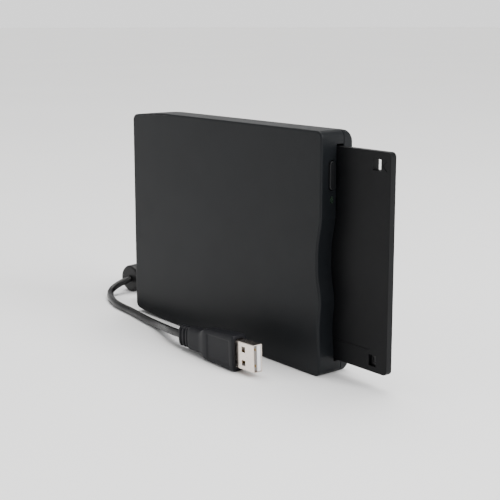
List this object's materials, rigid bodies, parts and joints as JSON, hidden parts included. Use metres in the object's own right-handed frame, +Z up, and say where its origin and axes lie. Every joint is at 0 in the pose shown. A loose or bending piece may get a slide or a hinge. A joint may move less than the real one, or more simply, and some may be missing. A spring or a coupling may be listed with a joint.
{
  "type": "external floppy disk drive",
  "caption": "slim external drive for 3.5-inch diskettes, standing on its side with a diskette half out of the front slot, and a short captive lead with a bead and a flat plug",
  "frame": {"origin": "on the resting plane, under the middle of the drive with its diskette half out; the lead, bead, strain relief and plug don't count", "axes": "+X out of the slot, -Y the large plain face, +Z up with the drive standing on a long narrow side"},
  "size_m": [0.2148, 0.0982, 0.103],
  "materials": {
    "case": "fine-grained satin charcoal plastic",
    "button": "satin black",
    "sheet_steel": "zinc-plated sheet",
    "spring_steel": "bright drawn",
    "lens": "dark green tinted",
    "flap_plastic": "black",
    "disk_plastic": "black satin",
    "shutter_metal": "brushed",
    "tab_plastic": "black",
    "disc_film": "dark brown coated film",
    "liner": "pressed fibre",
    "bearing_brass": "sintered",
    "coil_core": "laminated with windings",
    "board": "solder-masked laminate",
    "chip": "moulded",
    "ribbon": "film with conductors",
    "carriage_plastic": "filled plastic",
    "head_ceramic": "ground",
    "screw_steel": "zinc",
    "foot_rubber": "matt",
    "lead_rubber": "satin",
    "bead_plastic": "satin over ferrite",
    "grip_plastic": "moulded",
    "plug_metal": "nickel-plated shell",
    "tongue_plastic": "dark",
    "contact_gold": "gold flash"
  },
  "bodies": {
    "base": {"cover_near": "case", "cover_far": "case", "eject_springs": "spring_steel", "lever_post": "sheet_steel", "light_window": "lens", "status_light": "lens", "chassis": "sheet_steel", "top_shield": "sheet_steel", "disk_holder": "sheet_steel", "holder_pins": "spring_steel", "spindle_bearing": "bearing_brass", "spindle_stator": "coil_core", "main_board": "board", "board_chips": "chip", "ribbon_socket": "chip", "link_board": "board", "link_chips": "chip", "flat_cable": "ribbon", "guide_rod": "spring_steel", "rod_clamps": "spring_steel", "step_motor": "sheet_steel", "screw_bearing": "carriage_plastic", "sensor_switches": "chip", "case_screws": "screw_steel", "rubber_feet": "foot_rubber", "strain_relief": "lead_rubber", "ferrite_bead": "bead_plastic", "lead_inner": "lead_rubber", "lead_outer": "lead_rubber", "plug_grip": "grip_plastic", "plug_shell": "plug_metal", "plug_tongue": "tongue_plastic", "plug_contacts": "contact_gold"},
    "eject": {"eject_button": "button", "eject_plate": "sheet_steel"},
    "diskette": {"disk_shell_near": "disk_plastic", "disk_shell_far": "disk_plastic", "disk_liners": "liner"},
    "shutter": {"disk_shutter": "shutter_metal"},
    "tab": {"disk_tab": "tab_plastic"},
    "disc": {"disk_disc": "disc_film", "disk_hub": "shutter_metal"},
    "rotor": {"spindle_rotor": "sheet_steel", "spindle_chuck": "spring_steel", "spindle_shaft": "spring_steel"},
    "screw": {"lead_screw": "spring_steel"},
    "carriage": {"head_carriage": "carriage_plastic", "lower_head": "head_ceramic", "arm_bracket": "spring_steel"},
    "arm": {"upper_head": "head_ceramic"},
    "flap": {"slot_flap": "flap_plastic"},
    "lever": {"trigger_lever": "sheet_steel"}
  },
  "joints": [
    {"name": "eject_slide", "type": "slide", "parent": "base", "child": "eject", "axis": [1, 0, 0], "range_m": [0, 0.004]},
    {"name": "diskette_slide", "type": "slide", "parent": "base", "child": "diskette", "axis": [1, 0, 0], "range_m": [-0.03, 0.068]},
    {"name": "shutter_slide", "type": "slide", "parent": "diskette", "child": "shutter", "axis": [0, 0, 1], "range_m": [0, 0.014], "stiffness_N_per_m": 20, "springref_m": -0.01},
    {"name": "tab_slide", "type": "slide", "parent": "diskette", "child": "tab", "axis": [0, 0, 1], "range_m": [0, 0.0039]},
    {"name": "disc_spin", "type": "hinge", "parent": "diskette", "child": "disc", "pos_m": [0.0375, 0.001, 0.0515], "axis": [0, 1, 0], "continuous": true},
    {"name": "rotor_spin", "type": "hinge", "parent": "base", "child": "rotor", "pos_m": [0.0075, 0.004, 0.0515], "axis": [0, 1, 0], "continuous": true},
    {"name": "screw_turn", "type": "hinge", "parent": "base", "child": "screw", "pos_m": [-0.0555, 0.001, 0.064], "axis": [1, 0, 0], "range_deg": [-722, 722]},
    {"name": "carriage_slide", "type": "slide", "parent": "base", "child": "carriage", "axis": [1, 0, 0], "range_m": [-0.0075, 0.0075]},
    {"name": "arm_lift", "type": "hinge", "parent": "carriage", "child": "arm", "pos_m": [-0.0564, -0.0035, 0.0515], "axis": [0, 0, -1], "range_deg": [0, 3.5], "stiffness_Nm_per_rad": 0.01, "springref_deg": -11.46},
    {"name": "flap_swing", "type": "hinge", "parent": "base", "child": "flap", "pos_m": [0.04875, -0.00138, 0.0515], "axis": [0, 0, 1], "range_deg": [0, 2], "stiffness_Nm_per_rad": 0.002, "springref_deg": -11.46},
    {"name": "lever_turn", "type": "hinge", "parent": "base", "child": "lever", "pos_m": [-0.032, -0.0031, 0.088], "axis": [0, 1, 0], "range_deg": [0, 66], "stiffness_Nm_per_rad": 0.0005, "springref_deg": -57.3}
  ],
  "couplings": [
    {"joint": "screw_turn", "follows": "carriage_slide", "rad_per_m": 1675.5}
  ]
}
